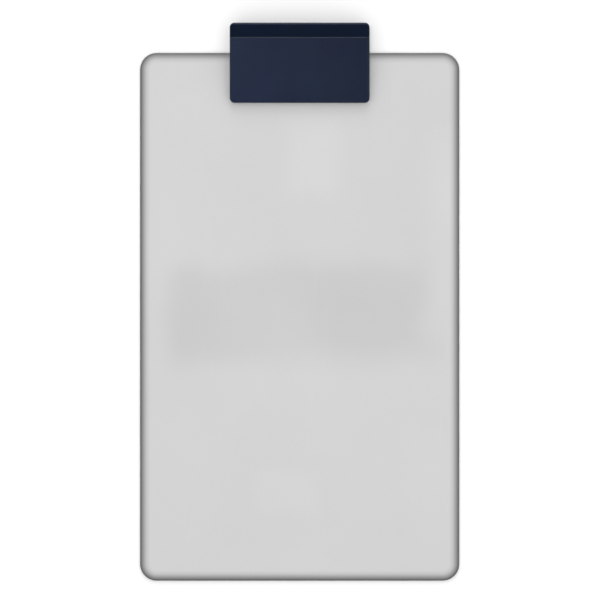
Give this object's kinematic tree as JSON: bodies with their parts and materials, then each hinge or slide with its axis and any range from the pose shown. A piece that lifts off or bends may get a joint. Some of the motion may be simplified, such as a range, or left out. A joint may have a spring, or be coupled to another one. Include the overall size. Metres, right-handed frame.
{
  "type": "clipboard",
  "caption": "Legal-size plastic clipboard with rolled edges and a wide sprung plastic clip riveted over its top edge.",
  "frame": {"origin": "middle of the whole outline, board and clip together, on the board's flat back face", "axes": "+X across the board, +Y up the board towards the clip, +Z out of the writing face"},
  "size_m": [0.2286, 0.3994, 0.0197],
  "materials": {
    "board_plastic": "satin",
    "clip_plastic": "satin",
    "grip_rubber": "matte",
    "bright_steel": "satin",
    "plated_steel": "polished"
  },
  "bodies": {
    "board_assembly": {"board": "board_plastic", "clip_base": "clip_plastic", "hinge_pin": "bright_steel", "torsion_spring_left": "bright_steel", "torsion_spring_right": "bright_steel", "rivet_left": "plated_steel", "rivet_centre": "plated_steel", "rivet_right": "plated_steel", "rivet_washer_left": "plated_steel", "rivet_washer_centre": "plated_steel", "rivet_washer_right": "plated_steel"},
    "lever": {"clip_lever": "clip_plastic", "jaw_grip": "grip_rubber"}
  },
  "joints": [
    {"name": "clip_hinge", "type": "hinge", "parent": "board_assembly", "child": "lever", "pos_m": [0, 0.17585, 0.0082], "axis": [-1, 0, 0], "range_deg": [0, 25], "stiffness_Nm_per_rad": 0.25, "springref_deg": -34.38, "deforming": ["torsion_spring_left", "torsion_spring_right"]}
  ]
}
